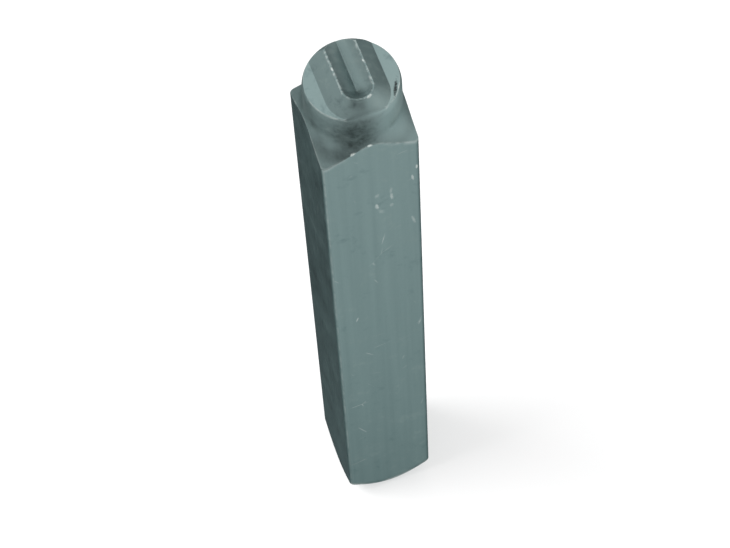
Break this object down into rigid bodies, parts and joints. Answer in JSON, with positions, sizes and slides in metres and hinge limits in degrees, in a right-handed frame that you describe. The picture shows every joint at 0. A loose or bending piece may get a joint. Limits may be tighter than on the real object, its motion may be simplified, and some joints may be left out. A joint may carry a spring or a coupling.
{
  "type": "steel letter punch",
  "caption": "Hand punch for stamping one letter: square blackened steel shank with a turned nose, a raised letter on its end and a flat struck end.",
  "frame": {"origin": "centre of the struck end, which the punch stands on", "axes": "+Z along the shank toward the raised letter, -Y toward the foot of the letter, +X square to one pair of flats"},
  "size_m": [0.008, 0.008, 0.065],
  "materials": {
    "blackened_steel": "black oxide over ground steel, satin, with bright worn edges"
  },
  "bodies": {
    "root": {"letter_punch": "blackened_steel"}
  },
  "joints": []
}
